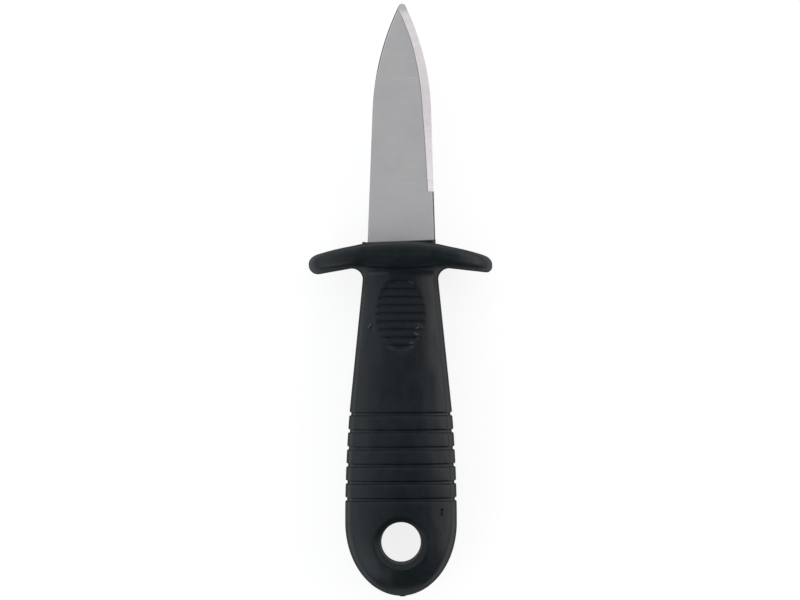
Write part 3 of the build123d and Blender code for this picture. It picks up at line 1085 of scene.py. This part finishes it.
flat_colour = layered(
    tree,
    blend(tree, tints, (0.78, 0.758, 0.758), (0.755, 0.75, 0.76)),
    (bands, 0.35, (0.72, 0.715, 0.73)),
    (stains, 0.35, (0.69, 0.69, 0.715)),
    (cuts, 0.35, (0.86, 0.85, 0.86)),
    # A thin dark line painted on the strip of the flat next to the bevel.
    (creased, 0.7, (0.35, 0.34, 0.36)),
)
ground_colour = layered(
    tree, (0.66, 0.645, 0.65), (grinding, 0.5, (0.6, 0.585, 0.59)), (tip_darkening, 0.5, (0.27, 0.265, 0.275))
)
flat_roughness = weighted(tree, ramp(tree, rolling, to_low=0.585, to_high=0.625), (bands, 0.03))
ground_roughness = ramp(tree, grinding, to_low=0.28, to_high=0.4)
chosen = add(tree, "Mix", {"Factor": ground, "A": flat_roughness, "B": ground_roughness}, data_type="FLOAT")
ground_grain = maths(tree, "MULTIPLY", grinding, ground)
# Sheared edges are dull and rougher, and their dark grey is partly a painted reflection of the dark room that
# their rounded corners mirror.
colour = layered(tree, flat_colour, (ground, 1.0, ground_colour), (sheared, 1.0, (0.19, 0.19, 0.20)))
relief = weighted(tree, 0.0, (rolling, 0.002), (bands, 0.004), (cuts, -0.01), (ground_grain, 0.006))
connect(tree, shader, colour, weighted(tree, chosen.outputs[0], (sheared, 0.15)), relief)
blade.data.materials.append(steel)
print("blade steel:", len(tree.nodes), "nodes")

# %% [markdown]
# ## Floor
# The photograph's background is plain white. The floor is a grey that takes the knife's soft shadow, and it
# glows for the camera and for reflections alone, so that it looks white without throwing light on the knife.
# In reflections the glow is weaker close to the knife and past its butt end, where somebody stands with the
# camera, and in the hanging hole, because the real handle mirrors the shade that both of them throw.

# %% Floor
floor_half, floor_grey, floor_glow = 3.0, 0.3, 0.85
standing_reach = 50.0
near_glow, near_reach, far_reach = 0.2, 15.0, 60.0
hole_glow, hole_middle, hole_outside = 0.12, 4.0, 6.0

floor_mesh = bpy.data.meshes.new("floor")
corners = [(x * floor_half, y * floor_half, 0) for x, y in ((-1, -1), (1, -1), (1, 1), (-1, 1))]
floor_mesh.from_pydata(corners, [], [(0, 1, 2, 3)])
floor = put("floor", floor_mesh)
paper, tree, shader = open_material("floor_paper")
paint = {"Base Color": (floor_grey, floor_grey, floor_grey, 1), "Emission Color": (1, 1, 1, 1)}
for name, value in {**paint, "Roughness": 0.9, "Specular IOR Level": 0.0}.items():
    shader.inputs[name].default_value = value
path = add(tree, "LightPath", {}).outputs
here = position(tree)
along = {"Value": axis(tree, here, 1), "Min": butt_y - standing_reach, "Max": -butt_y}
on_axis = add(tree, "CombineXYZ", {1: add(tree, "Clamp", along).outputs[0]}).outputs[0]
beside = ramp(tree, vector(tree, "DISTANCE", here, on_axis), near_reach, far_reach, near_glow, 1.0)
in_hole = ramp(tree, from_hole(tree), hole_middle, hole_outside, hole_glow, 0.0)
reflected = maths(tree, "ADD", path["Is Glossy Ray"], path["Is Transmission Ray"])
reflected = maths(tree, "MULTIPLY", reflected, maths(tree, "MAXIMUM", beside, in_hole))
seen = maths(tree, "ADD", path["Is Camera Ray"], reflected)
tree.links.new(maths(tree, "MULTIPLY", seen, floor_glow), shader.inputs["Emission Strength"])
floor_mesh.materials.append(paper)
print("floor paper:", len(tree.nodes), "nodes")

# %% [markdown]
# ## Light
# Black plastic shows the room more than itself. Straight above, where somebody leans over the knife with a
# camera, the room is dim, and it is dimmer still towards the butt end. Broad soft boxes stand left, right and
# beyond the tip, and a small one hangs at the near left, where the butt and the left wing catch it. The right
# one lights the bevel and the right side of the handle.

# %% World
room_strength = 0.62
dim_middle = np.array([0.15, -0.2, 0.95])
dim_edge, dim_core, dim_strength = 0.74, 0.93, 0.43
butt_end_direction, plain_direction, butt_end_strength = -0.9, 0.2, 0.3

world = bpy.data.worlds.new("studio")
bpy.context.scene.world = world
world.use_nodes = True
tree = world.node_tree
direction = add(tree, "TexCoord", {}).outputs["Generated"]
towards = vector(tree, "DOT_PRODUCT", direction, dim_middle / np.linalg.norm(dim_middle))
dim = ramp(tree, towards, dim_edge, dim_core, 1.0, dim_strength)
butt_side = ramp(tree, axis(tree, direction, 1), butt_end_direction, plain_direction, butt_end_strength, 1.0)
strength = maths(tree, "MULTIPLY", maths(tree, "MULTIPLY", dim, butt_side), room_strength)
tree.links.new(strength, tree.nodes["Background"].inputs["Strength"])
tree.nodes["Background"].inputs["Color"].default_value = (1, 1, 1, 1)

# %% Soft boxes


def soft_box(name, place, size, power, colour):
    """Hangs a lamp that faces the knife. Its size is along the knife and upwards."""
    lamp = bpy.data.lights.new(name, "AREA")
    lamp.shape = "RECTANGLE"
    lamp.size, lamp.size_y = size
    lamp.energy = power
    lamp.color = colour
    made = put(name, lamp)
    made.location = place
    made.rotation_euler = (-made.location).to_track_quat("-Z", "Y").to_euler()
    print(name, "gives", power, "watts")


soft_box("right_box", (0.76, 0.16, 0.49), (0.9, 0.5), 1.75, (1.0, 0.96, 1.0))
soft_box("left_box", (-0.8, 0.05, 0.5), (2.3, 0.5), 1.95, (0.8, 0.94, 1.0))
soft_box("far_box", (0, 1.0, 0.24), (1.8, 0.36), 1.9, (1.0, 1.0, 1.0))
soft_box("near_box", (-0.66, -0.62, 0.67), (0.5, 0.4), 1.0, (0.86, 0.95, 1.0))
